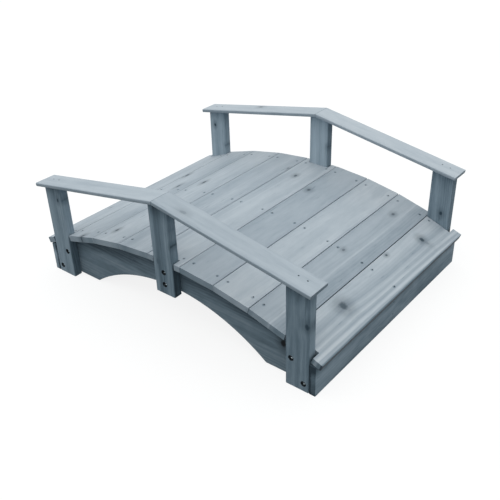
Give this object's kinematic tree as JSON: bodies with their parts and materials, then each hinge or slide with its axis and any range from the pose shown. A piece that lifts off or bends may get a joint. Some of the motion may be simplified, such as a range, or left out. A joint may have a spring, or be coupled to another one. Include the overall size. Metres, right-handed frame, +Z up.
{
  "type": "wooden garden bridge",
  "caption": "Low arched garden footbridge with a boarded deck on sawn stringers, bolted posts and peaked handrails, in grey-blue stained softwood.",
  "frame": {"origin": "on the ground, under the middle of the span and of the width", "axes": "+X along the walk, +Y across it, +Z up"},
  "size_m": [1.0016, 0.787, 0.387],
  "materials": {
    "deck_wood": "grey-blue stain on flat-sawn softwood, satin",
    "frame_wood": "grey-blue stain on sawn softwood, matte",
    "post_wood": "grey-blue stain on planed softwood, satin",
    "rail_wood": "grey-blue stain on planed softwood, satin",
    "bolt_steel": "bright zinc plate"
  },
  "bodies": {
    "root": {"stringer_front": "frame_wood", "stringer_middle": "frame_wood", "stringer_back": "frame_wood", "end_board_left": "frame_wood", "end_board_right": "frame_wood", "deck_board_1": "deck_wood", "deck_board_2": "deck_wood", "deck_board_3": "deck_wood", "deck_board_4": "deck_wood", "deck_board_5": "deck_wood", "deck_board_6": "deck_wood", "deck_board_7": "deck_wood", "deck_board_8": "deck_wood", "deck_board_9": "deck_wood", "post_front_left": "post_wood", "post_front_middle": "post_wood", "post_front_right": "post_wood", "post_back_left": "post_wood", "post_back_middle": "post_wood", "post_back_right": "post_wood", "rail_front_left": "rail_wood", "rail_front_right": "rail_wood", "rail_back_left": "rail_wood", "rail_back_right": "rail_wood", "bolts_front_left": "bolt_steel", "bolts_front_middle": "bolt_steel", "bolts_front_right": "bolt_steel", "bolts_back_left": "bolt_steel", "bolts_back_middle": "bolt_steel", "bolts_back_right": "bolt_steel"}
  },
  "joints": []
}
